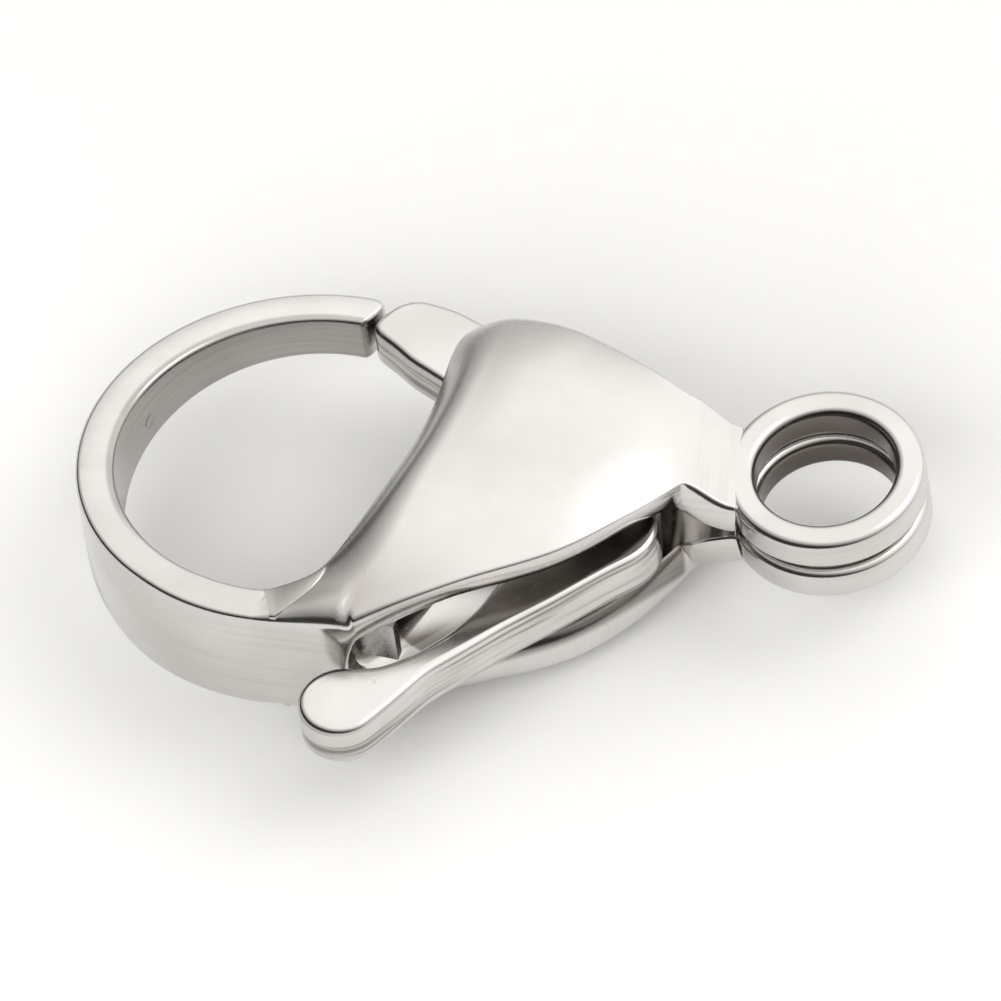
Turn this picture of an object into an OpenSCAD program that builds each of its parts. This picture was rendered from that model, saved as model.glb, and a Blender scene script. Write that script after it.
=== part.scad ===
/* [Sheet] */
// Thickness of the steel sheet that the body is folded from
sheet_t = 0.68; // [0.5:0.02:0.8]

/* [Eye] */
// Diameter of the hole through both eye rings
eye_bore_d = 2.43; // [2:0.05:2.8]
// Width of an eye ring from its hole to its rim
eye_rim = 0.525; // [0.4:0.025:0.7]
// Gap between the two stacked eye rings
eye_gap = 0.12; // [0.06:0.02:0.2]
// Chamfer on the edges of the eye rings
eye_chamfer = 0.1; // [0.05:0.01:0.18]

/* [Hook] */
// Outside radius of the round hook
hook_r = 3.9; // [3.6:0.05:4.2]
// Distance from the eye to the middle of the hook, along the clasp
hook_reach = 9.05; // [8.8:0.05:9.6]
// Offset of the middle of the hook towards the nose
hook_rise = 0.2; // [0:0.05:0.4]
// Width of the hook strip where it leaves the cheeks
hook_base_w = 2.4; // [2.2:0.05:2.6]
// Width of the hook strip at its tip
hook_tip_w = 0.85; // [0.8:0.05:1.2]
// Radius of the rounded corner outside the hook's tip
hook_tip_r = 0.3; // [0.1:0.05:0.4]
// Gap between the hook's tip and the lever's nose
seam_gap = 0.07; // [0.04:0.01:0.15]

/* [Cheeks] */
// Height of the clasp over the rims of its two cheeks
rim_h = 3; // [2.8:0.05:3.2]
// Height of the clasp over the crowns of its two cheeks
crown_h = 3.9; // [3.6:0.05:4.3]
// Length of the straight wall that joins the two cheeks at the hook's base
base_len = 1.55; // [1.4:0.05:1.7]
// Distance from the eye to the rounded corner beside the nose, along the clasp
corner_reach = 6.3; // [6:0.05:6.6]
// Offset of that corner towards the nose
corner_rise = 2.6; // [2.4:0.02:2.8]
// Depth of the curve of the mouth edge
mouth_bow = 0.64; // [0.5:0.02:0.7]
// Swell of the edge on the nose side
nose_bow = 0.56; // [0.4:0.02:0.64]
// Swell of the edge on the tail side
tail_bow = 0.53; // [0.35:0.02:0.6]
// Width of the neck between a cheek and its eye ring
neck_w = 1.9; // [1.7:0.05:2.1]
// Offset of the neck's shoulder towards the nose
neck_rise = 0.27; // [0:0.03:0.3]
// Distance from the eye to the shoulder where the neck begins
neck_reach = 2.35; // [2.2:0.05:2.6]

/* [Lever] */
// Thickness of the lever plate
lever_t = 0.9; // [0.7:0.05:1]
// Distance from the eye to the pivot, along the clasp
pivot_reach = 3.9; // [3.7:0.05:4.1]
// Offset of the pivot towards the nose
pivot_rise = 0; // [-0.2:0.05:0.3]
// Distance from the pivot to the end of the nose
nose_len = 5.42; // [5.2:0.02:5.5]
// Distance from the pivot to the middle of the thumb pad
tail_len = 6.36; // [6:0.05:6.7]
// Direction of the thumb pad from the pivot, in degrees
tail_angle = -130.5; // [-133:0.5:-128]
// Diameter of the round thumb pad
pad_d = 1.46; // [1.2:0.02:1.7]
// Width of the lever around the pivot
hub_w = 2; // [1.8:0.05:2.1]
// Width of the tail arm at its narrowest
arm_w = 0.48; // [0.4:0.02:0.6]

/* [Pivot] */
// Diameter of the pivot pin
pin_d = 0.9; // [0.7:0.05:1.1]
// Running clearance of the lever's hole round the pin, on the radius
pin_clearance = 0.05; // [0.02:0.01:0.09]
// Clearance of the pin in its two pockets, on the radius and at each end
pocket_clearance = 0.02; // [0.01:0.01:0.05]
// Depth of each pocket in the inside of a cheek
pocket_depth = 0.25; // [0.15:0.05:0.4]

/* [Spring] */
// Thickness of the spring leaf
leaf_t = 0.2; // [0.15:0.01:0.25]
// Width of the spring leaf
leaf_w = 0.9; // [0.6:0.05:1.1]
// Length of the leaf that reaches past the end of the base wall
leaf_reach = 0.75; // [0.5:0.05:1]

/* [Hidden] */
$fn = 96;

eye_r = eye_bore_d / 2 + eye_rim;
pivot = [-pivot_reach, pivot_rise];
hook_c = [-hook_reach, hook_rise];
// Where the round part of the hook ends at the base, in degrees about its middle
base_angle = -98;
// Overlap where two shapes of one solid meet
lap = 0.1;
// Step that keeps two faces of one solid from lying in one plane
skin = 0.01;

// Straight base wall: its start on the hook's outside, its direction, and the direction into the clasp
base_start = hook_c + hook_r * [cos(base_angle), sin(base_angle)];
base_dir = [-sin(base_angle), cos(base_angle)];
base_in = [-base_dir[1], base_dir[0]];
base_end = base_start + base_len * base_dir;

// Heights above the middle plane
ring_z = eye_gap / 2 + sheet_t;
rim_z = rim_h / 2;
crown_z = crown_h / 2;
base_z = hook_base_w / 2;
// Half height of the part of the base wall between the two folds
wall_z = 0.55;

// Curves of the cheek edges: share of the chord, share of the bow
mouth_curve = [[0, 0], [0.04, 0.44], [0.08, 0.76], [0.13, 0.95], [0.2, 1], [0.31, 1], [0.43, 0.97],
    [0.56, 0.92], [0.7, 0.69], [0.83, 0.31], [0.92, 0], [0.97, -0.05], [1, 0]];
nose_curve = [[0, 0], [0.05, 0.42], [0.11, 0.74], [0.19, 0.94], [0.29, 1], [0.42, 0.97], [0.56, 0.8],
    [0.7, 0.6], [0.85, 0.33], [1, 0]];
tail_curve = [[0, 0], [0.06, 0.08], [0.17, 0.24], [0.35, 0.56], [0.48, 0.86], [0.58, 1], [0.68, 0.95],
    [0.83, 0.64], [0.92, 0.33], [1, 0]];

// Rim heights: share of the edge, share of half the rim height
nose_rims = [[0, 0.8], [0.2, 0.86], [0.5, 0.93], [0.8, 0.88], [1, 0.79]];
tail_rims = [[0, 0.87], [0.2, 0.93], [0.5, 1], [0.75, 0.97], [0.9, 0.87], [1, 0.79]];
// Lift of the middle of the mouth edge, as a share of half the rim height
mouth_lift = 0.1;

// Where the dome stands highest: share of the way from mouth to neck, and from tail side to nose side
crown_at_u = 0.26;
crown_at_v = 0.44;
// How full the dome is towards the mouth, the neck, the tail side and the nose side
full_mouth = 2.6;
full_neck = 1.8;
full_tail = 1.7;
full_nose = 3;

// Rows from the mouth to the eye: over the fold, along the cheek, down the neck; and columns across
fold_rows = 4;
side_rows = 15;
neck_rows = 4;
rows = fold_rows + side_rows + neck_rows;
cols = 12;
fold_cols = 5;

// Corner between base wall and cheek, [across, high], at the hook and at the slot
fold_r_hook = sheet_t * [0.15, 0.15];
fold_r_slot = sheet_t * [0.91, 0.62];
// Where a cheek's free rim begins: its distance past the base wall, and in from the wall's outside
rim_start = 0.19;
rim_in = 0.12;
// How far the rounding of that rim stands out
rim_round = 0.08;
// How much farther in a cheek begins at the slot than at the hook
fold_step = 0.07;
// Thickness of the cheek over the inside of the base wall, at the hook
fold_thin = 0.03;
// Shares of the sheet's edge that the rim's rounding leaves free, outside and inside
rim_free = 0.05;
// Height of the cheeks' sides under the middle of the dome, as a share of half the rim height
side_rim = 0.95;
// Bend of the rows towards the mouth on the nose side, so that they fan out there
row_bend = 1.15;
// Slope with which the neck's fall takes over from the dome's
neck_lead = 0.8;
// Height of the sheet over the pin's ends: share of the way from rim height to crown height
pin_at = 0.7;
// Radius of the inner corners of the lever's outline
lever_inner_r = 0.25;
// Where the spring leaf lies against the inside of the hook, in degrees about its middle
leaf_angle = -124;
// Gap between the spring leaf and the body
leaf_gap = 0.03;
// Steps from the fold over which the sheet's inside comes to lie square under its outside
full_lean = 4;

// Discs that the lever's outline runs round.
// Nose arm: share of nose_len, degrees past the nose's direction, share of hub_w
nose_discs = [[0.96, 0, 0.185], [0.89, -2.6, 0.285], [0.81, -3.7, 0.335], [0.621, -7, 0.36],
    [0.381, -14.6, 0.46], [0.204, -42.6, 0.525]];
// Tail root: share of tail_len, degrees past the pad's direction, share of hub_w
root_discs = [[0.17, 52, 0.44], [0.21, 32, 0.44], [0.394, 17, 0.285]];
// Tail arm: share of tail_len, degrees past the pad's direction, share of arm_w
arm_discs = [[0.535, 12.4, 0.7], [0.657, 8.9, 0.54], [0.779, 5.6, 0.52], [0.898, 3.2, 0.875]];

function lerp(a, b, t) = a + (b - a) * t;

function unit(v) = v / norm(v);

function ease(t) = t * t * (3 - 2 * t);

function polar(r, a) = [r * cos(a), r * sin(a)];

// Slope of a table at row i
function slope(t, i) =
    let (a = max(i - 1, 0), b = min(i + 1, len(t) - 1))
    (t[b][1] - t[a][1]) / (t[b][0] - t[a][0]);

// Value of a table of [share, value] rows at share s, on a smooth curve through its rows
function look(t, s, i = 0) =
    i < len(t) - 2 && s > t[i + 1][0]
        ? look(t, s, i + 1)
        : let (w = t[i + 1][0] - t[i][0], q = (s - t[i][0]) / w)
            t[i][1] * (1 - 3 * q * q + 2 * q * q * q)
            + t[i + 1][1] * (3 * q * q - 2 * q * q * q)
            + slope(t, i) * w * q * (1 - q) * (1 - q)
            - slope(t, i + 1) * w * q * q * (1 - q);

// Point at share s of a bowed edge from a to b; the bow lies to the right of the way from a to b
function edge(a, b, curve, bow, s) =
    let (d = unit(b - a))
    lerp(a, b, s) + bow * look(curve, s) * [d[1], -d[0]];

// Swell that is 0 at both ends and 1 at top
function swell(s, top, before, after) =
    s < top ? 1 - pow((top - s) / top, before) : 1 - pow((s - top) / (1 - top), after);

rim_first = base_end + rim_start * base_dir + rim_in * base_in;
corner = [-corner_reach, corner_rise];
neck_tail = [-neck_reach, neck_rise - neck_w / 2];
neck_nose = [-neck_reach, neck_rise + neck_w / 2];
// The neck ends inside the ring's wall
neck_end_x = -(eye_bore_d / 2 + eye_rim * 0.45);
neck_end_w = min(neck_w * 0.93, eye_r);

// Share of the way along the fold, along the cheek and down the neck, at row i
function fold_share(i) = min(1, i / fold_rows);
function tail_share(i) = max(0, min(1, (i - fold_rows - 1) / (side_rows - 1)));
function row_share(i) = min(1, i / (fold_rows + side_rows));
function neck_share(i) = max(0, (i - fold_rows - side_rows) / neck_rows);
// Share of the neck's fall at row i
function neck_fall(i) =
    let (t = neck_share(i))
    ease(t) + neck_lead * t * (1 - t) * (1 - t);

// Point of the base wall's outside at row i, and its corner's two radii
function wall_point(i) = base_start + (-lap + (base_len + lap) * fold_share(i)) * base_dir;
function corner_r(i) = lerp(fold_r_hook, fold_r_slot, fold_share(i));
// Distance in from the base wall's outside at which its corner ends at row i
function wall_in(i) = sheet_t - skin + fold_step * fold_share(i);

// Half width and middle of the neck, at row i
function neck_half(i) = lerp(neck_w, neck_end_w, ease(neck_share(i))) / 2;
function neck_mid(i) =
    [lerp(-neck_reach, neck_end_x, neck_share(i)), neck_rise * (1 - ease(neck_share(i)))];

// Plan place of row i on the tail side, near the base wall's outside or on the rim, and on the nose side
function tail_point(i) =
    i <= fold_rows
        ? wall_point(i) + rim_in * base_in
        : neck_share(i) > 0
            ? neck_mid(i) - [0, neck_half(i)]
            : edge(rim_first, neck_tail, tail_curve, tail_bow, tail_share(i));
function nose_point(i) =
    neck_share(i) > 0
        ? neck_mid(i) + [0, neck_half(i)]
        : edge(corner, neck_nose, nose_curve, -nose_bow, pow(row_share(i), row_bend));
function tail_z(i) =
    i <= fold_rows
        ? lerp(base_z - skin, rim_z * tail_rims[0][1], ease(fold_share(i)))
        : lerp(rim_z * look(tail_rims, tail_share(i)), ring_z - skin, neck_fall(i));
function nose_z(i) =
    lerp(rim_z * look(nose_rims, row_share(i)), ring_z - skin, neck_fall(i));

// Outer surface of the upper cheek at row i and column j; above the folds it begins at the wall's inside
function cheek_point(i, j) =
    let (a = tail_point(i), b = nose_point(i), share = j / cols, u = row_share(i), d = unit(b - a),
        first = i <= fold_rows ? (wall_in(i) - rim_in) / ((b - a) * base_in) : 0,
        v = lerp(first, 1, share), w = lerp(share, v, fold_share(i)), flat = pow(1 - u, 3),
        p = lerp(a, b, v) + mouth_bow * look(mouth_curve, share) * flat * [d[1], -d[0]],
        dome = (crown_z - rim_z * side_rim) * swell(u, crown_at_u, full_mouth, full_neck)
            * swell(w, crown_at_v, full_tail, full_nose),
        lift = rim_z * mouth_lift * 4 * w * (1 - w) * flat)
    [p[0], p[1], lerp(tail_z(i), nose_z(i), w) + dome + lift];

// Outward normal of the outer surface, from its neighbours
function cheek_normal(i, j) =
    let (a = cheek_point(max(i - 1, 0), j), b = cheek_point(min(i + 1, rows), j),
        c = cheek_point(i, max(j - 1, 0)), d = cheek_point(i, min(j + 1, cols)))
    unit(cross(b - a, d - c));

// Inner surface; at the fold it lies straight below the outer one
function cheek_inside(i, j) =
    let (n = cheek_normal(i, j), lean = min(1, (j + max(0, i - fold_rows - 1)) / full_lean))
    cheek_point(i, j) - sheet_t * [lean * n[0], lean * n[1], n[2]];

// Base wall's corner at row i, outside, from its top down: step m of fold_cols
function corner_point(i, m) =
    let (r = corner_r(i), a = 90 - 90 * (m - 1) / (fold_cols - 2),
        in = m < fold_cols ? r[0] * (1 - cos(a)) + skin : skin,
        z = m < fold_cols ? cheek_point(i, 0)[2] - r[1] * (1 - sin(a)) : wall_z - lap,
        p = wall_point(i) + in * base_in)
    [p[0], p[1], z];

// Base wall's inside at row i, from under the cheek down: step m of fold_cols
function wall_inside(i, m) =
    let (first = cheek_point(i, 0),
        top = first[2] - lerp(fold_thin, sheet_t, fold_share(i)),
        p = m == 0 ? first : wall_point(i) + (sheet_t - skin) * base_in)
    [p[0], p[1], lerp(top, wall_z - lap, m / fold_cols)];

// Rounded rim of the sheet on the tail side, at row i and share s from outside to inside
function rim_point(i, s) =
    let (o = cheek_point(i, 0), q = cheek_inside(i, 0),
        along = cheek_point(min(i + 1, rows), 0) - cheek_point(max(i - 1, fold_rows + 1), 0),
        side = unit(cross(along, o - q)))
    lerp(o, q, s) + rim_round * sqrt(1 - pow(2 * s - 1, 2)) * side;

function outside(i, j) =
    j >= fold_cols ? cheek_point(i, j - fold_cols)
        : i <= fold_rows ? corner_point(i, fold_cols - j)
            : rim_point(i, (1 - rim_free) * (1 - j / fold_cols));
function inside(i, j) =
    j > fold_cols ? cheek_inside(i, j - fold_cols)
        : i <= fold_rows ? wall_inside(i, fold_cols - j)
            : lerp(cheek_inside(i, 0), cheek_inside(i, 1), rim_free * j);

// One cheek with its fold and neck: an outer and an inner grid of points, closed round their edges
module cheek() {
    across = cols + fold_cols;
    w = across + 1;
    n = (rows + 1) * w;
    points = [for (layer = [0, 1], i = [0:rows], j = [0:across]) layer == 0 ? outside(i, j) : inside(i, j)];
    top = [for (i = [0:rows - 1], j = [0:across - 1], k = [0, 1])
        let (a = i * w + j)
        k == 0 ? [a, a + w + 1, a + w] : [a, a + 1, a + w + 1]];
    bottom = [for (f = top) [n + f[0], n + f[2], n + f[1]]];
    // Places along the four edges of the grid, in one round
    round = concat([for (i = [0:rows - 1]) i * w], [for (j = [0:across - 1]) rows * w + j],
        [for (i = [rows:-1:1]) i * w + across], [for (j = [across:-1:1]) j]);
    // Each side is split along its shorter diagonal
    sides = [for (k = [0:len(round) - 1], m = [0, 1])
        let (a = round[k], b = round[(k + 1) % len(round)],
            cut = norm(points[a] - points[n + b]) < norm(points[b] - points[n + a]))
        cut ? (m == 0 ? [a, b, n + b] : [a, n + b, n + a])
            : (m == 0 ? [a, b, n + a] : [b, n + b, n + a])];
    polyhedron(points = points, faces = concat(top, bottom, sides));
}

// Plan of the hook: its round part, cut off at the seam, and the straight base wall
module hook_plan() {
    seam_r = nose_len + seam_gap;
    // Middle of the rounding outside the tip, from its distances to the hook's middle and to the pivot
    to_pivot = pivot - hook_c;
    far = hook_r - hook_tip_r;
    turn = acos((far * far + to_pivot * to_pivot - pow(seam_r + hook_tip_r, 2)) / (2 * far * norm(to_pivot)));
    tip_c = hook_c + polar(far, atan2(to_pivot[1], to_pivot[0]) + turn);
    to_rim = unit(tip_c - hook_c);
    to_seam = unit(pivot - tip_c);
    difference() {
        translate(hook_c) circle(r = hook_r);
        translate(hook_c) circle(r = hook_r - sheet_t);
        translate(pivot) circle(r = seam_r);
        // The open side of the hook, between its base and its tip
        polygon([hook_c, hook_c + 3 * hook_r * unit(base_start - hook_c), hook_c + hook_r * [3, -3],
            hook_c + hook_r * [3, 0], pivot]);
        difference() {
            polygon([tip_c, tip_c + 2 * hook_tip_r * to_rim, tip_c + 3 * hook_tip_r * (to_rim + to_seam),
                tip_c + 2 * hook_tip_r * to_seam]);
            translate(tip_c) circle(r = hook_tip_r);
        }
    }
    translate(base_start)
        rotate(base_angle + 90)
            translate([-skin, 0])
                square([base_len + 2 * skin, sheet_t]);
}

// The hook: its plan, cut to the strip's width, which narrows from base to tip
module hook() {
    y_base = hook_rise - hook_r - lap;
    y_wide = hook_rise - 0.75 * hook_r;
    y_tip = hook_rise + hook_r;
    difference() {
        intersection() {
            translate([0, 0, -hook_base_w])
                linear_extrude(height = 2 * hook_base_w)
                    hook_plan();
            rotate([90, 0, 90])
                translate([0, 0, -2 * hook_reach])
                    linear_extrude(height = 2 * hook_reach)
                        polygon([[y_base - 1, base_z], [y_wide, base_z], [y_tip, hook_tip_w / 2],
                            [y_tip, -hook_tip_w / 2], [y_wide, -base_z], [y_base - 1, -base_z]]);
        }
        // The base wall is low, because the folds stand above and below it
        for (side = [-1, 1])
            translate([base_start[0], base_start[1], side * (wall_z + hook_base_w)])
                rotate(base_angle + 90)
                    translate([0, -lap, -hook_base_w])
                        cube([2 * base_len, sheet_t + 2 * lap, 2 * hook_base_w]);
    }
}

// One eye ring, flat with chamfered edges
module eye_ring() {
    w = eye_rim;
    c = eye_chamfer;
    translate([0, 0, eye_gap / 2])
        rotate_extrude()
            translate([eye_bore_d / 2, 0])
                polygon([[0, c], [c, 0], [w - c, 0], [w, c], [w, sheet_t - c], [w - c, sheet_t], [c, sheet_t],
                    [0, sheet_t - c]]);
}

// Half length of the pivot pin, into a pocket in each cheek
pin_half = lerp(rim_z, crown_z, pin_at) - sheet_t + pocket_depth;

module body() {
    color([0.78, 0.77, 0.75])
        difference() {
            union() {
                hook();
                cheek();
                mirror([0, 0, 1]) cheek();
                eye_ring();
                mirror([0, 0, 1]) eye_ring();
            }
            translate([pivot[0], pivot[1], -pin_half - pocket_clearance])
                cylinder(d = pin_d + 2 * pocket_clearance, h = 2 * (pin_half + pocket_clearance));
        }
}

// Plan outline of an arm that runs round a chain of discs [x, y, radius]
module arm_plan(discs) {
    for (k = [0:len(discs) - 2]) {
        a = discs[k];
        b = discs[k + 1];
        d = [b[0] - a[0], b[1] - a[1]];
        turn = atan2(d[1], d[0]);
        lean = acos((a[2] - b[2]) / norm(d));
        for (c = [a, b])
            translate([c[0], c[1]]) circle(r = c[2]);
        polygon([for (c = [[a, 1], [b, 1], [b, -1], [a, -1]])
            [c[0][0], c[0][1]] + polar(c[0][2], turn + c[1] * lean)]);
    }
}

module lever() {
    // The end of the nose stands on the middle of the hook's strip
    tip_y = hook_rise + hook_r - 0.95 * sheet_t - pivot_rise;
    nose_angle = 180 - asin(tip_y / (nose_len * nose_discs[0][0]));
    function disc(d, len, angle, width) = concat(pivot + polar(d[0] * len, angle + d[1]), d[2] * width);
    nose = [for (d = nose_discs) disc(d, nose_len, nose_angle, hub_w)];
    root = [for (d = root_discs) disc(d, tail_len, tail_angle, hub_w)];
    arm = [for (d = arm_discs) disc(d, tail_len, tail_angle, arm_w)];
    hub = concat(pivot, hub_w / 2);
    pad = concat(pivot + polar(tail_len, tail_angle), pad_d / 2);
    color([0.7, 0.69, 0.67])
        translate([0, 0, -lever_t / 2])
            difference() {
                linear_extrude(height = lever_t)
                    intersection() {
                        // The inner corners of the outline are rounded
                        offset(r = -lever_inner_r)
                            offset(delta = lever_inner_r)
                                arm_plan(concat(nose, [hub], root, arm, [pad]));
                        // The end of the nose lies on its own swing round the pivot
                        difference() {
                            translate(pivot) circle(r = 2 * tail_len);
                            difference() {
                                translate([pivot[0] - 2 * tail_len, pivot[1]]) square(2 * tail_len);
                                translate(pivot) circle(r = nose_len);
                            }
                        }
                    }
                translate([pivot[0], pivot[1], -lap])
                    cylinder(d = pin_d + 2 * pin_clearance, h = lever_t + 2 * lap);
            }
}

module pivot_pin() {
    color([0.6, 0.6, 0.6])
        translate([pivot[0], pivot[1], -pin_half])
            cylinder(d = pin_d, h = 2 * pin_half);
}

// A flat leaf that lies from the inside of the hook to the open slot beside the base wall
module spring_leaf() {
    start = hook_c + polar(hook_r - sheet_t - leaf_gap, leaf_angle);
    end = base_end + leaf_reach * base_dir + (sheet_t + leaf_gap) * base_in;
    d = end - start;
    color([0.75, 0.75, 0.74])
        translate([start[0], start[1], -leaf_w / 2])
            rotate(atan2(d[1], d[0]))
                cube([norm(d), leaf_t, leaf_w]);
}

body();
lever();
pivot_pin();
spring_leaf();
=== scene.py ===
import math

import bmesh
import bpy
from mathutils import Matrix, Vector


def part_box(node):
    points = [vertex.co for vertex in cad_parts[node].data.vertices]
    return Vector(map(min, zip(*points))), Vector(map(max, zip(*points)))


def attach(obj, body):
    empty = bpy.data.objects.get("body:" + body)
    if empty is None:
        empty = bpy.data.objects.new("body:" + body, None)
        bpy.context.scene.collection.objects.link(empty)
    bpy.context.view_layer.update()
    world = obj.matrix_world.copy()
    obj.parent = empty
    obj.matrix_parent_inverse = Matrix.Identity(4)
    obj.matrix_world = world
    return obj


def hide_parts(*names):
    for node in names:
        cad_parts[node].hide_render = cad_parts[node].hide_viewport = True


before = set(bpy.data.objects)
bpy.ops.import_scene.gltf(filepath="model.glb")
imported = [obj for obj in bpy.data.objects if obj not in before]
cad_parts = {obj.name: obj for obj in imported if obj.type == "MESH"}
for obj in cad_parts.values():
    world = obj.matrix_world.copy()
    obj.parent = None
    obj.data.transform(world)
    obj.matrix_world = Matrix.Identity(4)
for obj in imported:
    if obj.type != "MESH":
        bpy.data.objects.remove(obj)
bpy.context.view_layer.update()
scene = bpy.context.scene

# Cheeks, necks and base wall: one stainless steel sheet, cut flat, pressed into two domes,
# folded over at the base wall and tumbled until its edges are round. They follow the same
# edges, tables and folds as the solid that they replace, in millimetres
mm = 0.001
sheet_t = 0.68
hook_c = Vector((-9.05, 0.2))
hook_r = 3.9
base_angle = math.radians(-98)
base_start = hook_c + hook_r * Vector((math.cos(base_angle), math.sin(base_angle)))
base_dir = Vector((-math.sin(base_angle), math.cos(base_angle)))
base_in = Vector((-base_dir.y, base_dir.x))
base_len = 1.55
base_z = 1.2
rows_in = 0.12
wall_gap = 0.06
rim_lead = 0.19
rim_first = base_start + (base_len + rim_lead) * base_dir + rows_in * base_in
rim_z = 1.5
side_rim = 0.95
side_lift = 0.1
corner = Vector((-6.3, 2.6))
slit_half = 0.06
ring_z = slit_half + sheet_t
neck_reach = 2.35
neck_rise = 0.27
neck_half = 0.95
neck_tail = Vector((-neck_reach, neck_rise - neck_half))
neck_nose = Vector((-neck_reach, neck_rise + neck_half))
neck_end_x = -1.45
neck_end_half = 0.88
neck_end_z = ring_z - 0.005
neck_lead = 0.8
# The crown's height, and its share of the way along and across with the powers of the
# dome's fall before and after it
crown_z = 1.95
crown_along = (0.26, 2.6, 1.8)
crown_across = (0.44, 1.7, 3)
# Each edge's greatest bow, and its share of that bow at shares of the edge's length
mouth_bow = 0.64
nose_bow = 0.56
tail_bow = 0.53
mouth_curve = [
    (0, 0), (0.04, 0.44), (0.08, 0.76), (0.13, 0.95), (0.2, 1), (0.31, 1), (0.43, 0.97),
    (0.56, 0.92), (0.7, 0.69), (0.83, 0.31), (0.92, 0), (0.97, -0.05), (1, 0),
]
nose_curve = [
    (0, 0), (0.05, 0.42), (0.11, 0.74), (0.19, 0.94), (0.29, 1), (0.42, 0.97), (0.56, 0.8),
    (0.7, 0.6), (0.85, 0.33), (1, 0),
]
tail_curve = [
    (0, 0), (0.06, 0.08), (0.17, 0.24), (0.35, 0.56), (0.48, 0.86), (0.58, 1), (0.68, 0.95),
    (0.83, 0.64), (0.92, 0.33), (1, 0),
]
# The rims' heights, as shares of rim_z
nose_rims = [(0, 0.8), (0.2, 0.86), (0.5, 0.93), (0.8, 0.88), (1, 0.79)]
tail_rims = [(0, 0.87), (0.2, 0.93), (0.5, 1), (0.75, 0.97), (0.9, 0.87), (1, 0.79)]
# A cheek runs in rows from the hook to the ring: over the base wall, past its corner, along
# the rim and down the neck
fold_end = 4
rim_begin = 5
neck_begin = 19
neck_last = 23
row_bend = 1.15


def mix(a, b, s):
    return a + (b - a) * s


def ease(s):
    return s * s * (3 - 2 * s)


def clamp(s):
    return max(0.0, min(1.0, s))


def look(table, s):
    """Value of a table of (share, value) rows at share s, on a smooth curve."""
    i = 0
    while i < len(table) - 2 and s > table[i + 1][0]:
        i += 1

    def slope(k):
        before = table[max(k - 1, 0)]
        after = table[min(k + 1, len(table) - 1)]
        return (after[1] - before[1]) / (after[0] - before[0])

    gap = table[i + 1][0] - table[i][0]
    q = (s - table[i][0]) / gap
    return (
        table[i][1] * (1 - 3 * q * q + 2 * q ** 3)
        + table[i + 1][1] * (3 * q * q - 2 * q ** 3)
        + slope(i) * gap * q * (1 - q) ** 2
        - slope(i + 1) * gap * q * q * (1 - q)
    )


def bowed(a, b, curve, bow, s):
    """Point at share s of an edge from a to b that bows to the right of its way."""
    way = (b - a).normalized()
    return mix(a, b, s) + bow * look(curve, s) * Vector((way.y, -way.x))


def swell(s, top, before, after):
    """A rise to 1 at share top and a fall after it, each with a power of its own."""
    if s < top:
        return 1 - ((top - s) / top) ** before
    return 1 - ((s - top) / (1 - top)) ** after


def fold_share(row):
    return clamp(row / fold_end)


def row_share(row):
    return clamp(row / neck_begin)


def rim_share(row):
    return clamp((row - rim_begin) / (neck_begin - rim_begin))


def neck_share(row):
    return clamp((row - neck_begin) / (neck_last - neck_begin))


def neck_fall(row):
    s = neck_share(row)
    return ease(s) + neck_lead * s * (1 - s) ** 2


def neck_side(row, way):
    """Plan place of a neck's edge, on the nose side (way 1) or the tail side (way -1)."""
    s = neck_share(row)
    half = mix(neck_half, neck_end_half, ease(s))
    return Vector((mix(-neck_reach, neck_end_x, s), neck_rise * (1 - ease(s)) + way * half))


def wall_foot(row):
    """Plan place of a row on the base wall's outside."""
    return base_start + base_len * fold_share(row) * base_dir


def tail_side(row):
    """Plan place of a row's start, over the base wall, on the rim or on the neck."""
    if row <= fold_end:
        return wall_foot(row) + rows_in * base_in
    if row < rim_begin:
        return mix(tail_side(fold_end), rim_first, (row - fold_end) / (rim_begin - fold_end))
    if row > neck_begin:
        return neck_side(row, -1)
    return bowed(rim_first, neck_tail, tail_curve, tail_bow, rim_share(row))


def nose_side(row):
    """Plan place of a row's end, on the nose side's edge or on the neck."""
    if row > neck_begin:
        return neck_side(row, 1)
    return bowed(corner, neck_nose, nose_curve, -nose_bow, row_share(row) ** row_bend)


def tail_height(row):
    if row <= fold_end:
        return mix(base_z, rim_z * tail_rims[0][1], ease(fold_share(row)))
    return mix(rim_z * look(tail_rims, rim_share(row)), neck_end_z, neck_fall(row))


def nose_height(row):
    return mix(rim_z * look(nose_rims, row_share(row)), neck_end_z, neck_fall(row))


def outer(row, share):
    """Outer surface of the upper cheek, from the tail side to the nose side."""
    tail = tail_side(row)
    nose = nose_side(row)
    # Over the base wall, the surface starts past the wall's own thickness
    first = 0
    if row <= fold_end:
        first = (sheet_t + wall_gap * fold_share(row) - rows_in) / (nose - tail).dot(base_in)
    reach = mix(first, 1, share)
    across = mix(share, reach, fold_share(row))
    along = row_share(row)
    way = (nose - tail).normalized()
    flat = (1 - along) ** 3
    bow = mouth_bow * look(mouth_curve, share) * flat
    place = mix(tail, nose, reach) + bow * Vector((way.y, -way.x))
    rim = mix(tail_height(row), nose_height(row), across)
    dome = (crown_z - rim_z * side_rim) * swell(along, *crown_along) * swell(across, *crown_across)
    lift = rim_z * side_lift * 4 * across * (1 - across) * flat
    return Vector((place.x, place.y, rim + dome + lift))


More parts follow.
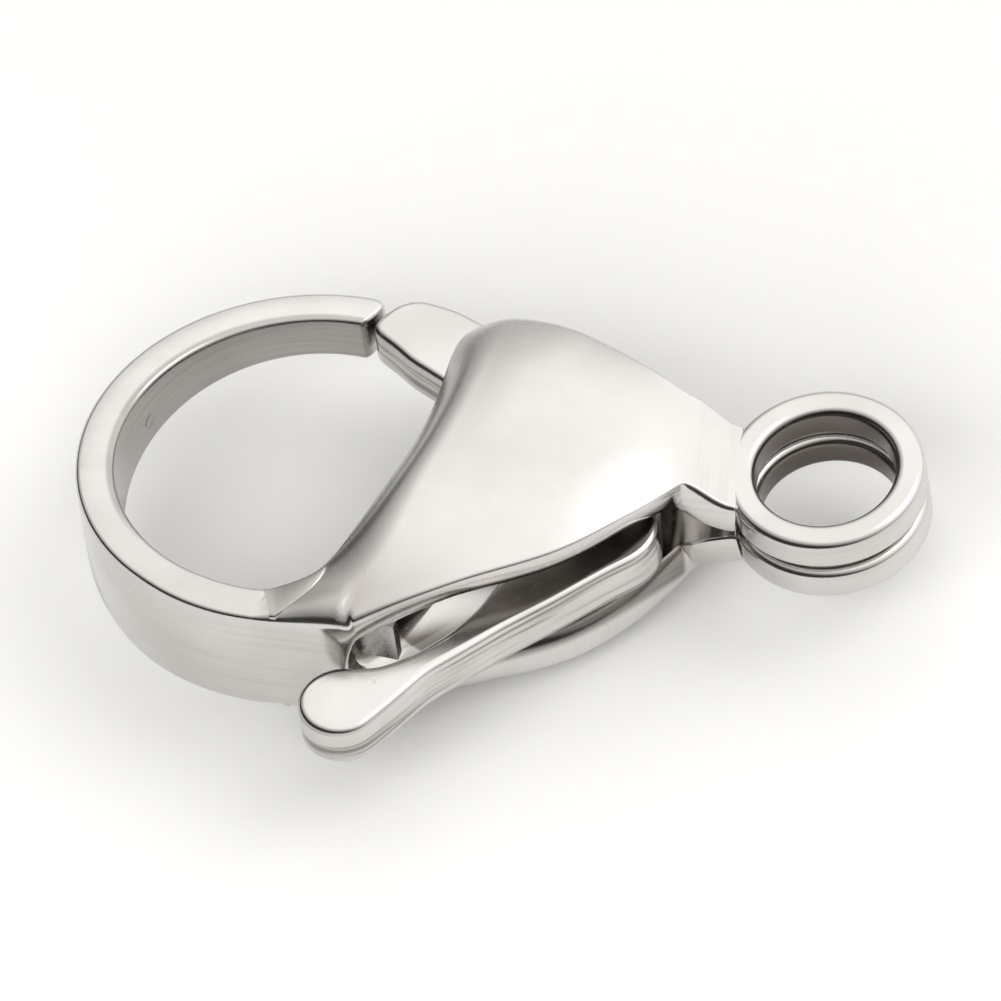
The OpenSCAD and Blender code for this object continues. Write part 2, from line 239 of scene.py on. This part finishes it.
def inner(row, share):
    """The sheet's other side. It lies straight under the outer surface near the base wall,
    and square to it farther on."""
    row_step, share_step = 0.5, 0.04
    by_row = outer(min(row + row_step, neck_last), share) - outer(max(row - row_step, 0), share)
    by_share = outer(row, min(share + share_step, 1)) - outer(row, max(share - share_step, 0))
    normal = by_row.cross(by_share).normalized()
    lean = min(1.0, 3 * share + max(0, row - rim_begin) / 4)
    return outer(row, share) - sheet_t * Vector((lean * normal.x, lean * normal.y, normal.z))


# The wall's steps from the bottom up, of which the first are upright and the others round
# its corner, and the places across and along a cheek at which its surface is worked out
edge_steps = 8
upright_steps = 3
shares = [0, 0.02] + [k / 18 for k in range(1, 18)] + [0.98, 1]
rows = [0, 0.15] + [k / 2 for k in range(1, 9)] + [5, 5.2] + [k / 2 for k in range(11, 47)]
# The rounded corner's width and height, as shares of the sheet at the fold's start and end
corner_across = (0.15, 0.91)
corner_high = (0.15, 0.62)
rim_cover = 0.95
rim_round = 0.08
rim_inside = 0.12
wall_inside = sheet_t - 0.01
wall_top_in = 0.03
sheet_rounding = (0.16, 0.84)
fold_crease = 0.6
close_by = 0.002


def edge_outside(row, step):
    """Outside of the base wall and its rounded corner, or the rim, from the bottom up."""
    if row <= fold_end:
        top = outer(row, 0).z
        across = sheet_t * mix(*corner_across, fold_share(row))
        high = sheet_t * mix(*corner_high, fold_share(row))
        if step < upright_steps:
            at, z = 0, (top - high) * step / upright_steps
        else:
            turn = math.radians(90 * (step - upright_steps) / (edge_steps - upright_steps - 0.5))
            at, z = across * (1 - math.cos(turn)), top - high * (1 - math.sin(turn))
        spot = wall_foot(row) + at * base_in
        return Vector((spot.x, spot.y, z))
    s = rim_cover * (1 - step / edge_steps)
    face, under = outer(row, 0), inner(row, 0)
    way = outer(min(row + 0.5, neck_last), 0) - outer(max(row - 0.5, rim_begin), 0)
    bulge = rim_round * math.sqrt(1 - (2 * s - 1) ** 2)
    return mix(face, under, s) + bulge * way.cross(face - under).normalized()


def edge_inside(row, step):
    """Inside of the base wall, or the first strip of the sheet's other side at the rim."""
    if row <= fold_end:
        spot = wall_foot(row) + wall_inside * base_in
        top = tail_height(row) - mix(wall_top_in, sheet_t, fold_share(row))
        return Vector((spot.x, spot.y, top * step / edge_steps))
    return mix(inner(row, 0), inner(row, shares[1]), rim_inside * step / edge_steps)


shell = bmesh.new()
crease = shell.edges.layers.float.new("crease_edge")


def crease_line(line, amount):
    for a, b in zip(line, line[1:]):
        shell.edges.get((a, b))[crease] = amount


for side in (1, -1):
    out_grid = []
    in_grid = []
    for row in rows:
        outs = [edge_outside(row, k) for k in range(edge_steps)] + [outer(row, s) for s in shares]
        ins = [edge_inside(row, k) for k in range(edge_steps)] + [inner(row, s) for s in shares]
        out_grid.append([shell.verts.new((p.x, p.y, side * p.z)) for p in outs])
        in_grid.append([shell.verts.new((p.x, p.y, side * p.z)) for p in ins])
    last_row = len(rows) - 1
    last_place = len(out_grid[0]) - 1
    for i in range(last_row):
        for j in range(last_place):
            for grid, way in ((out_grid, side), (in_grid, -side)):
                quad = [grid[i][j], grid[i + 1][j], grid[i + 1][j + 1], grid[i][j + 1]]
                shell.faces.new(quad[::way])
    # The border joins the two surfaces with a rounded edge, from the corner of the base wall
    # along the rim, across the neck's end, back along the nose side and across the mouth
    fold_row = rows.index(fold_end)
    border = [(i, 0) for i in range(fold_row, last_row)]
    border += [(last_row, j) for j in range(last_place)]
    border += [(i, last_place) for i in range(last_row, 0, -1)]
    border += [(0, j) for j in range(last_place, -1, -1)]
    lines = []
    for i, j in border:
        face, under = out_grid[i][j], in_grid[i][j]
        mids = [shell.verts.new(mix(face.co, under.co, s)) for s in sheet_rounding]
        lines.append([face] + mids + [under])
    for one, two in zip(lines, lines[1:]):
        for k in range(3):
            shell.faces.new([two[k], one[k], one[k + 1], two[k + 1]][::side])
    for grid in (out_grid, in_grid):
        crease_line(grid[0][:edge_steps + 1], 1.0)
        crease_line(grid[fold_row][:edge_steps + 1], fold_crease)
bmesh.ops.remove_doubles(shell, verts=shell.verts, dist=close_by)
for edge in shell.edges:
    edge.smooth = edge[crease] < 1


class Wire:
    """One output of a shader node. The usual signs join two wires, or a wire and a number,
    through a Math node, and any other node comes from the method node."""

    def __init__(self, tree, socket=None):
        self.tree = tree
        self.socket = socket

    def node(self, kind, inputs, output=0, stops=(), **settings):
        made = self.tree.nodes.new(kind)
        for key, value in settings.items():
            setattr(made, key, value)
        for spare in stops[2:]:
            made.color_ramp.elements.new(0.5)
        for number, (rise, colour) in enumerate(stops):
            made.color_ramp.elements[number].position = rise
            made.color_ramp.elements[number].color = colour
        for key, value in inputs.items():
            if isinstance(value, Wire):
                self.tree.links.new(value.socket, made.inputs[key])
            else:
                made.inputs[key].default_value = value
        return Wire(self.tree, made.outputs[output] if made.outputs else None)

    def maths(self, operation, a, b=0.0):
        return self.node("ShaderNodeMath", {0: a, 1: b}, operation=operation)

    def __add__(self, other):
        return self.maths("ADD", self, other)

    def __radd__(self, other):
        return self.maths("ADD", other, self)

    def __sub__(self, other):
        return self.maths("SUBTRACT", self, other)

    def __rsub__(self, other):
        return self.maths("SUBTRACT", other, self)

    def __mul__(self, other):
        return self.maths("MULTIPLY", self, other)

    def __rmul__(self, other):
        return self.maths("MULTIPLY", other, self)

    def __abs__(self):
        return self.maths("ABSOLUTE", self)

    def ramp(self, low, high):
        """A smooth rise from 0 at low to 1 at high."""
        return self.node(
            "ShaderNodeMapRange",
            {"Value": self, "From Min": low, "From Max": high, "To Min": 0.0, "To Max": 1.0},
            interpolation_type="SMOOTHSTEP",
        )


# Places in the steel's shader, in millimetres: the heights between which painted shade darkens
# the domes' foot, the places along the clasp where that ends, a dent's radii and two soft edges
dome_foot = ((1.15, 1.3), (1.45, 1.85))
shade_end = (-8.2, -5.0)
dent_radii = (0.07, 0.19)
flank_fade = 0.14
hollow_fade = 0.08
# The dark tint that the painted shade and the brushed lines are mixed towards
shade_and_streak_tint = (0.17, 0.15, 0.135, 1)


def steel(name, bright, dull, smooth, rough, flank, satin=0.0, lines=0.0, shaded_hollows=(), dents=()):
    """A polished steel with two tints, two roughnesses, a soft ripple and fine pits. Flank is
    the height, in millimetres, up to which faces stand upright: they carry brushed lines,
    and painted shade darkens them in the hollows, each [x, y, radius, share]. Satin is added
    on domes, and painted shade darkens their foot low down on the hook's side. A dent is
    a small round mark [x, y, z]."""
    material = bpy.data.materials.new(name)
    material.use_nodes = True
    material.node_tree.nodes.clear()
    start = Wire(material.node_tree)
    place = start.node("ShaderNodeTexCoord", {}, output="Object")

    def noise(at, scale, detail):
        return start.node("ShaderNodeTexNoise", {"Vector": at, "Scale": scale, "Detail": detail})

    def part(axis):
        return start.node("ShaderNodeSeparateXYZ", {0: place}, output=axis)

    def stretched(by):
        return start.node("ShaderNodeVectorMath", {0: place, 1: by}, operation="MULTIPLY")

    def away(at, spot):
        spot = tuple(c * mm for c in spot)
        return start.node(
            "ShaderNodeVectorMath", {0: at, 1: spot}, operation="DISTANCE", output="Value"
        )

    def blend(share, a, b):
        return start.node("ShaderNodeMix", {0: share, 6: a, 7: b}, output=2, data_type="RGBA")

    cloud = noise(place, 420.0, 3.0)
    grain = noise(place, 9000.0, 4.0)
    pits = noise(place, 4200.0, 2.0).ramp(0.66, 0.76)
    brushed = noise(stretched((0.035, 0.035, 1.0)), 9500.0, 3.0).ramp(0.44, 0.68)
    high = abs(part("Z"))
    upright = 1.0 - high.ramp(flank * mm, (flank + flank_fade) * mm)
    streak = lines * upright * brushed
    # Painted shade: the domes' foot on the hook's side, and the hollows below, are mixed towards the
    # dark tint, along with the brushed lines
    foot_from, foot_to = [high.ramp(low * mm, top * mm) for low, top in dome_foot]
    hook_side = 1.0 - part("X").ramp(shade_end[0] * mm, shade_end[1] * mm)
    painted_shade_and_streaks = 0.8 * streak + 0.45 * foot_from * (1.0 - foot_to) * hook_side
    plan = stretched((1.0, 1.0, 0.0))
    for x, y, radius, share in shaded_hollows:
        inside = 1.0 - away(plan, (x, y, 0.0)).ramp((radius - hollow_fade) * mm, radius * mm)
        painted_shade_and_streaks = painted_shade_and_streaks + share * upright * inside
    tint = blend(cloud.ramp(0.35, 0.65), (*bright, 1), (*dull, 1))
    tint = blend(painted_shade_and_streaks, tint, shade_and_streak_tint)
    sheen = smooth + (rough - smooth) * (0.6 * cloud + 0.4 * grain) + 0.1 * pits
    sheen = sheen + satin * high.ramp(1.0 * mm, 1.6 * mm)
    rise = 0.002 * cloud + 0.0004 * grain - 0.0007 * pits - 0.0012 * streak
    for spot in dents:
        rise = rise - 0.03 * (1.0 - away(place, spot).ramp(dent_radii[0] * mm, dent_radii[1] * mm))
    relief = start.node("ShaderNodeBump", {"Height": rise, "Strength": 1.0, "Distance": 0.001})
    shader = start.node(
        "ShaderNodeBsdfPrincipled",
        {"Base Color": tint, "Metallic": 1.0, "Roughness": sheen, "Normal": relief},
    )
    start.node("ShaderNodeOutputMaterial", {"Surface": shader})
    return material


def piece(shape, name, material):
    """Make a smooth piece of the scene from a shape in millimetres."""
    bmesh.ops.recalc_face_normals(shape, faces=shape.faces)
    for face in shape.faces:
        face.smooth = True
    bmesh.ops.scale(shape, vec=(mm, mm, mm), verts=shape.verts)
    mesh = bpy.data.meshes.new(name)
    shape.to_mesh(mesh)
    shape.free()
    mesh.materials.append(material)
    made = bpy.data.objects.new(name, mesh)
    scene.collection.objects.link(made)
    return made


# One small dent marks the hook's inner wall. Painted shade darkens the hollows: the hook's
# opening, the eye's bore and the slot between the cheeks
dent_angle = math.radians(152)
dent = hook_c + (hook_r - sheet_t) * Vector((math.cos(dent_angle), math.sin(dent_angle)))
body_steel = steel(
    "body_steel", (0.69, 0.672, 0.652), (0.63, 0.612, 0.59), smooth=0.12, rough=0.24,
    flank=1.0, satin=0.1, lines=0.12, dents=((*dent, -0.14),),
    shaded_hollows=((*hook_c, 3.4, 0.44), (0, 0, 1.3, 1.0), (-5.2, -0.6, 2.75, 0.75)),
)
cheeks = piece(shell, "clasp_cheeks", body_steel)
rounding = cheeks.modifiers.new("rounding", "SUBSURF")
rounding.levels = rounding.render_levels = 2
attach(cheeks, "shell")
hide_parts("body")

# Hook strip: the long arm of the same steel sheet, bent round to a hook, with its corners
# broken. It narrows towards its tip, which ends on the swing of the lever's nose
pivot = Vector((-3.9, 0))
lever_reach = 5.42
seam_gap = 0.07
seam_r = lever_reach + seam_gap
tip_z = 0.425
tip_corner = 0.34
tip_edge = 0.09
wide_to = 0.75
strip_edge = 0.15 * sheet_t
turn_steps = 110
tip_stops = (0.1, 0.08, 0.06, 0.04, 0.025, 0.01, 0.002, 0)
to_pivot = hook_c - pivot


def tip_angle(r):
    """Angle about the hook's centre at which radius r meets the swing of the nose."""
    far = to_pivot.length
    lean = math.atan2(to_pivot.y, to_pivot.x)
    return lean - math.acos((seam_r ** 2 - r * r - far * far) / (2 * r * far)) - 2 * math.pi


def strip_height(y):
    y_wide = hook_c.y - wide_to * hook_r
    if y < y_wide:
        return base_z
    return mix(base_z, tip_z, (y - y_wide) / ((1 + wide_to) * hook_r))


def arc_in(radius, away):
    """How far a rounded corner stands back at a distance before its end."""
    return radius - math.sqrt(max(0.0, radius ** 2 - max(0.0, radius - away) ** 2))


def skin(shape, rings):
    """Faces between each closed ring of points and the next."""
    for one, two in zip(rings, rings[1:]):
        for k in range(len(one)):
            shape.faces.new((one[k - 1], one[k], two[k], two[k - 1]))


strip = bmesh.new()
arc_length = hook_r * (base_angle - tip_angle(hook_r))
stops = [k / turn_steps for k in range(turn_steps)]
stops += [1 - away / arc_length for away in tip_stops]
sections = []
for stop in stops:
    away = (1 - stop) * arc_length
    shrink = arc_in(tip_edge, away)
    r_out = hook_r - max(arc_in(tip_corner, away), shrink)
    r_in = hook_r - sheet_t + shrink
    section = []
    for r, out_way, up_way, start in (
        (r_out, 1, 1, 0), (r_in, -1, 1, 90), (r_in, -1, -1, 180), (r_out, 1, -1, 270),
    ):
        for k in range(5):
            turn = math.radians(start + 22.5 * k)
            spot_r = r + strip_edge * (math.cos(turn) - out_way)
            angle = mix(base_angle, tip_angle(spot_r), stop)
            x = hook_c.x + spot_r * math.cos(angle)
            y = hook_c.y + spot_r * math.sin(angle)
            top = strip_height(y) - shrink - strip_edge
            section.append(strip.verts.new((x, y, up_way * top + strip_edge * math.sin(turn))))
    sections.append(section)
# Under the cheeks, the strip runs on and sinks into the base wall
begin = sections[0]
run_on_in = 0.02
for run_on, sink in ((0.15, 0.012), (0.45, 0.03), (0.6, 0.05)):
    section = []
    for vert in begin:
        spot = vert.co.xy + run_on * base_dir + run_on_in * base_in
        section.append(strip.verts.new((*spot, vert.co.z - math.copysign(sink, vert.co.z))))
    sections.insert(0, section)
skin(strip, sections)
strip.faces.new(sections[-1])
caps = [strip.faces.new(sections[0][::-1])]
# Its flat top and underside run out in a point along the mouth edges. The first stop lies
# on the strip, in millimetres before its end, and the others are shares of the run-out
tongue_stops = (-0.1, 0, 0.12, 0.25, 0.4, 0.55, 0.7, 0.85, 0.97)
tongue_share = 0.13
tongue_tip = 0.05
tongue_out = 0.05
tongue_edge = 0.07
tongue_deep = 0.3
tongue_stand = 0.003
tongue_swell = 0.1
tongue_sink = 0.06
for side in (1, -1):
    tongue = []
    for stop in tongue_stops:
        run = max(stop, 0)
        share = tongue_share * run
        spot = outer(0, share)
        way = (outer(0, share + 0.01) - outer(0, max(share - 0.01, 0))).xy.normalized()
        out_way = Vector((way.y, -way.x))
        foot = spot.xy + min(stop, 0) * base_dir + tongue_out * run * out_way
        stands_up = tongue_stand + tongue_swell * run * (1 - run) - tongue_sink * run * run
        width = mix(sheet_t, tongue_tip, run)
        soft = min(tongue_edge, 0.45 * width)
        section = []
        for at, start, drop in (
            (width - soft, 0, 0), (soft, 90, 0),
            (soft, 180, tongue_deep), (width - soft, 270, tongue_deep),
        ):
            for k in range(4):
                turn = math.radians(start + 30 * k)
                place = foot + (at + soft * math.cos(turn)) * out_way
                row = clamp((place - base_start).dot(base_dir) / base_len) * fold_end
                top = max(spot.z, outer(row, 0).z) + stands_up - soft - drop
                section.append(strip.verts.new((*place, side * (top + soft * math.sin(turn)))))
        tongue.append(section)
    skin(strip, tongue)
    strip.faces.new(tongue[-1])
    caps.append(strip.faces.new(tongue[0][::-1]))
# The covered ends keep sharp edges, so that they don't darken the faces beside them
for cap in caps:
    for edge in cap.edges:
        edge.smooth = False
hook = piece(strip, "hook_strip", body_steel)
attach(hook, "shell")
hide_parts("body")

# Eye rings: the two ends of the same steel sheet, each punched to a flat ring with rounded
# edges. They lie one over the other with a slit between them, and each is spun from one section
bore_r = 1.215
rim_w = 0.525
edge_r = 0.17
for side, name in ((1, "eye_ring_upper"), (-1, "eye_ring_lower")):
    ring = bmesh.new()
    profile = []
    for x, z, start in (
        (rim_w - edge_r, sheet_t - edge_r, 0), (edge_r, sheet_t - edge_r, 90),
        (edge_r, edge_r, 180), (rim_w - edge_r, edge_r, 270),
    ):
        for k in range(7):
            turn = math.radians(start + 15 * k)
            across = bore_r + x + edge_r * math.cos(turn)
            profile.append((across, 0, side * (slit_half + z + edge_r * math.sin(turn))))
    verts = [ring.verts.new(spot) for spot in profile]
    edges = [ring.edges.new((a, b)) for a, b in zip(verts, verts[1:] + verts[:1])]
    bmesh.ops.spin(
        ring, geom=verts + edges, cent=(0, 0, 0), axis=(0, 0, 1), dvec=(0, 0, 0),
        angle=2 * math.pi, steps=128, use_merge=True, use_duplicate=False,
    )
    eye = piece(ring, name, body_steel)
    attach(eye, "shell")
    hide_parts("body")

# Lever: one flat steel plate, stamped in a V with a nose and a thumb pad, tumbled, and hung
# on the pin between the cheeks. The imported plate's outlines are evened out and built up
# again with rounded edges, which show as bright lines
lever_edge = 0.13
flat_in = 0.03
outline_step = 0.08
outline_passes = 7
packed = bmesh.new()
packed.from_mesh(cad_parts["lever"].data)
bmesh.ops.scale(packed, vec=(1 / mm, 1 / mm, 1 / mm), verts=packed.verts)
bmesh.ops.remove_doubles(packed, verts=packed.verts, dist=close_by)
lever_top = max(v.co.z for v in packed.verts)
nexts = {}
for edge in packed.edges:
    if min(v.co.z for v in edge.verts) < lever_top - close_by / 2:
        continue
    flat_faces = [f for f in edge.link_faces if abs(f.normal.z) > 0.5]
    if len(flat_faces) == 1:
        # The edge's own direction round its flat face keeps the metal on one side
        loop = next(l for l in edge.link_loops if l.face == flat_faces[0])
        nexts[loop.vert] = loop.link_loop_next.vert
outlines = []
while nexts:
    vert, after = nexts.popitem()
    outline = [vert.co.xy]
    while after in nexts:
        outline.append(after.co.xy)
        after = nexts.pop(after)
    if (after.co.xy - outline[0]).length > close_by / 2:
        outline.append(after.co.xy)
    outlines.append(outline)
packed.free()
metal_on_right = sum(
    a.cross(b) for outline in outlines for a, b in zip(outline, outline[1:] + outline[:1])
) < 0


def evened(outline):
    """The outline in equal steps, each point drawn a little to its neighbours."""
    lengths = [0]
    for a, b in zip(outline, outline[1:] + outline[:1]):
        lengths.append(lengths[-1] + (b - a).length)
    count = round(lengths[-1] / outline_step)
    even = []
    k = 0
    for step in range(count):
        at = lengths[-1] * step / count
        while lengths[k + 1] < at:
            k += 1
        a, b = outline[k], outline[(k + 1) % len(outline)]
        even.append(a.lerp(b, (at - lengths[k]) / (lengths[k + 1] - lengths[k])))
    for smoothing in range(outline_passes):
        even = [
            0.25 * even[k - 1] + 0.5 * even[k] + 0.25 * even[(k + 1) % count]
            for k in range(count)
        ]
    return even


# From the flat top round its edge: how far in from the outline, and how high
levels = [(lever_edge + flat_in, lever_top)]
for k in range(6):
    turn = math.radians(90 - 18 * k)
    levels.append((lever_edge * (1 - math.cos(turn)), lever_top - lever_edge * (1 - math.sin(turn))))
levels += [(inset, -z) for inset, z in reversed(levels)]
plate = bmesh.new()
brims = ([], [])
for outline in outlines:
    even = evened(outline[::-1] if metal_on_right else outline)
    loops = []
    for inset, z in levels:
        loop = []
        for k, spot in enumerate(even):
            way = (even[(k + 1) % len(even)] - even[k - 1]).normalized()
            loop.append(plate.verts.new((spot.x - inset * way.y, spot.y + inset * way.x, z)))
        loops.append(loop)
    skin(plate, loops)
    for brim, loop in zip(brims, (loops[0], loops[-1])):
        brim += [plate.edges.get((loop[k - 1], loop[k])) for k in range(len(loop))]
for brim in brims:
    bmesh.ops.triangle_fill(plate, use_beauty=True, use_dissolve=False, edges=brim)
lever_steel = steel(
    "lever_steel", (0.69, 0.672, 0.652), (0.6, 0.582, 0.56), smooth=0.13, rough=0.26,
    flank=0.3, lines=1.0,
)
lever = piece(plate, "lever_plate", lever_steel)
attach(lever, "lever")
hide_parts("lever")

# Pivot pin and spring leaf: a plain steel pin in two pockets of the cheeks, and a thin flat
# strip of spring steel beside the base wall, which presses the lever shut. The packed
# solids stay, in a duller steel of their own
for name, bright, dull in (
    ("pivot_pin", (0.5, 0.49, 0.48), (0.42, 0.41, 0.4)),
    ("spring_leaf", (0.68, 0.67, 0.65), (0.56, 0.55, 0.53)),
):
    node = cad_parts[name]
    finish = steel(name + "_steel", bright, dull, smooth=0.2, rough=0.34, flank=0.3)
    node.data.materials.clear()
    node.data.materials.append(finish)

# Floor: a wide, plain, pale sheet with a faint sheen. It is stage only, and lies level under
# the lower cheek's crown, which is the lowest point of the body
floor_shape = bmesh.new()
bmesh.ops.create_grid(floor_shape, x_segments=1, y_segments=1, size=0.6)
bmesh.ops.translate(floor_shape, verts=floor_shape.verts, vec=(0, 0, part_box("body")[0].z))
floor_mesh = bpy.data.meshes.new("floor")
floor_shape.to_mesh(floor_mesh)
floor_shape.free()
floor = bpy.data.objects.new("floor", floor_mesh)
scene.collection.objects.link(floor)
paper = bpy.data.materials.new("pale_floor")
paper.use_nodes = True
floor_shader = paper.node_tree.nodes["Principled BSDF"]
floor_shader.inputs["Base Color"].default_value = (0.66, 0.66, 0.653, 1)
floor_shader.inputs["Roughness"].default_value = 0.45
floor_mesh.materials.append(paper)

# Light: a pale dome overhead that darkens downwards, most of all towards the camera and the
# hook, so that the steel has something dark to reflect, one soft box for the shadows, and a
# fill in front that lights the floor and isn't reflected by the steel
middle = Vector((-5.6, -0.7, 0)) * mm


def lamp(name, shape, away, strength, size, size_y):
    """An area lamp that faces the clasp's middle, its place and its sides in millimetres."""
    light = bpy.data.lights.new(name, "AREA")
    light.shape = shape
    light.size = size * mm
    light.size_y = size_y * mm
    filled = math.pi / 4 if shape == "DISK" else 1
    light.energy = strength * math.pi * filled * light.size * light.size_y
    holder = bpy.data.objects.new(name, light)
    scene.collection.objects.link(holder)
    holder.location = middle + Vector(away) * mm
    holder.rotation_euler = (middle - holder.location).to_track_quat("-Z", "Y").to_euler()
    return holder


soft_box = lamp("soft_box", "DISK", (105, 35, 140), strength=1.6, size=110, size_y=110)
soft_box.data.color = (1, 0.995, 0.985)
front_fill = lamp("front_fill", "RECTANGLE", (-40, -120, 90), strength=4.2, size=200, size_y=120)
front_fill.visible_glossy = False
world = bpy.data.worlds.new("surround")
scene.world = world
world.use_nodes = True
world.node_tree.nodes.clear()
sky = Wire(world.node_tree)
slope = sky.node(
    "ShaderNodeVectorMath",
    {0: sky.node("ShaderNodeTexCoord", {}, output="Generated"), 1: (0.5, 0.4, 1)},
    output="Value", operation="DOT_PRODUCT",
)
tones = sky.node("ShaderNodeValToRGB", {0: slope}, stops=[
    (rise, (tone, 0.99 * tone, 0.975 * tone, 1)) for rise, tone in (
        (0.0, 0.03), (0.18, 0.05), (0.31, 0.41), (0.5, 0.47), (0.66, 0.66), (0.85, 1.0),
    )
])
surround = sky.node("ShaderNodeBackground", {"Color": tones, "Strength": 1.35})
sky.node("ShaderNodeOutputWorld", {"Surface": surround})

# Camera: it looks from above the tail side, at the clasp's own angle in the photograph,
# through a long lens, because the photograph has next to no perspective
camera_turn = math.radians(-11.5)
camera_height = math.radians(51)
camera_roll = math.radians(9)
camera_away = 700 * mm
view_width = 17.16 * mm
view_across = -5.57 * mm
view_up = 0.76 * mm
level = Vector((math.cos(camera_turn), -math.sin(camera_turn), 0))
rising = Vector((
    math.sin(camera_turn) * math.sin(camera_height),
    math.cos(camera_turn) * math.sin(camera_height),
    math.cos(camera_height),
))
right = math.cos(camera_roll) * level - math.sin(camera_roll) * rising
up = math.sin(camera_roll) * level + math.cos(camera_roll) * rising
back = right.cross(up)
camera = bpy.data.objects.new("camera", bpy.data.cameras.new("camera"))
scene.collection.objects.link(camera)
camera.matrix_world = Matrix.Translation(
    view_across * level + view_up * rising + camera_away * back
) @ Matrix((right, up, back)).transposed().to_4x4()
camera.data.angle = 2 * math.atan(view_width / 2 / camera_away)
camera.data.clip_start = 50 * mm
camera.data.clip_end = 2
scene.camera = camera
scene.view_settings.view_transform = "Standard"
